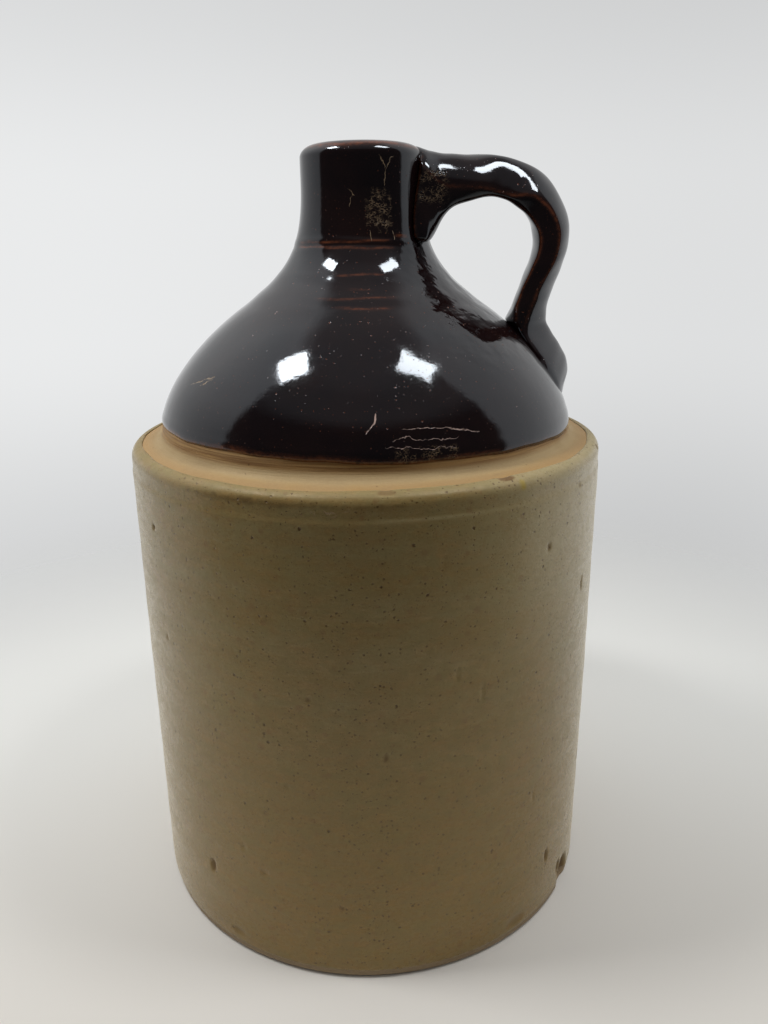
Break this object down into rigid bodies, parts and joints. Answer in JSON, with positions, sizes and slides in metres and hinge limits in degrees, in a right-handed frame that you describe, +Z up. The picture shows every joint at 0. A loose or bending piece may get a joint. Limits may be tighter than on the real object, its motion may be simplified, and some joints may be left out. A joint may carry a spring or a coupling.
{
  "type": "ceramic jug",
  "caption": "One-gallon stoneware shoulder jug with a straight tan body, a bare ledge, a brown glazed dome, a narrow neck and a strap handle.",
  "frame": {"origin": "centre of the foot's underside, on the jug's axis, at the level that it stands on", "axes": "+Z up the jug's axis and out of its mouth, +X toward the handle, +Y away from the side shown in the picture"},
  "size_m": [0.178, 0.178, 0.283],
  "materials": {
    "body_clay": "bare fired stoneware, warm tan flashed to orange on the ledge, fine turning lines",
    "shoulder_clay": "bare fired stoneware, tan with fine turning lines on the collar",
    "joint_slip": "fired joint slip",
    "tan_glaze": "satin tan glaze with fine dark specks, pits and small chips",
    "brown_glaze": "glossy dark brown slip glaze that breaks to rust where it runs thin",
    "inner_glaze": "glossy brown lining glaze"
  },
  "bodies": {
    "root": {"lower_body": "body_clay", "shoulder_dome": "shoulder_clay", "neck": "shoulder_clay", "handle": "shoulder_clay", "shoulder_slip_ring": "joint_slip", "neck_slip_ring": "joint_slip", "body_glaze": "tan_glaze", "shoulder_glaze": "brown_glaze", "neck_glaze": "brown_glaze", "handle_glaze": "brown_glaze", "liner_glaze": "inner_glaze"}
  },
  "joints": []
}
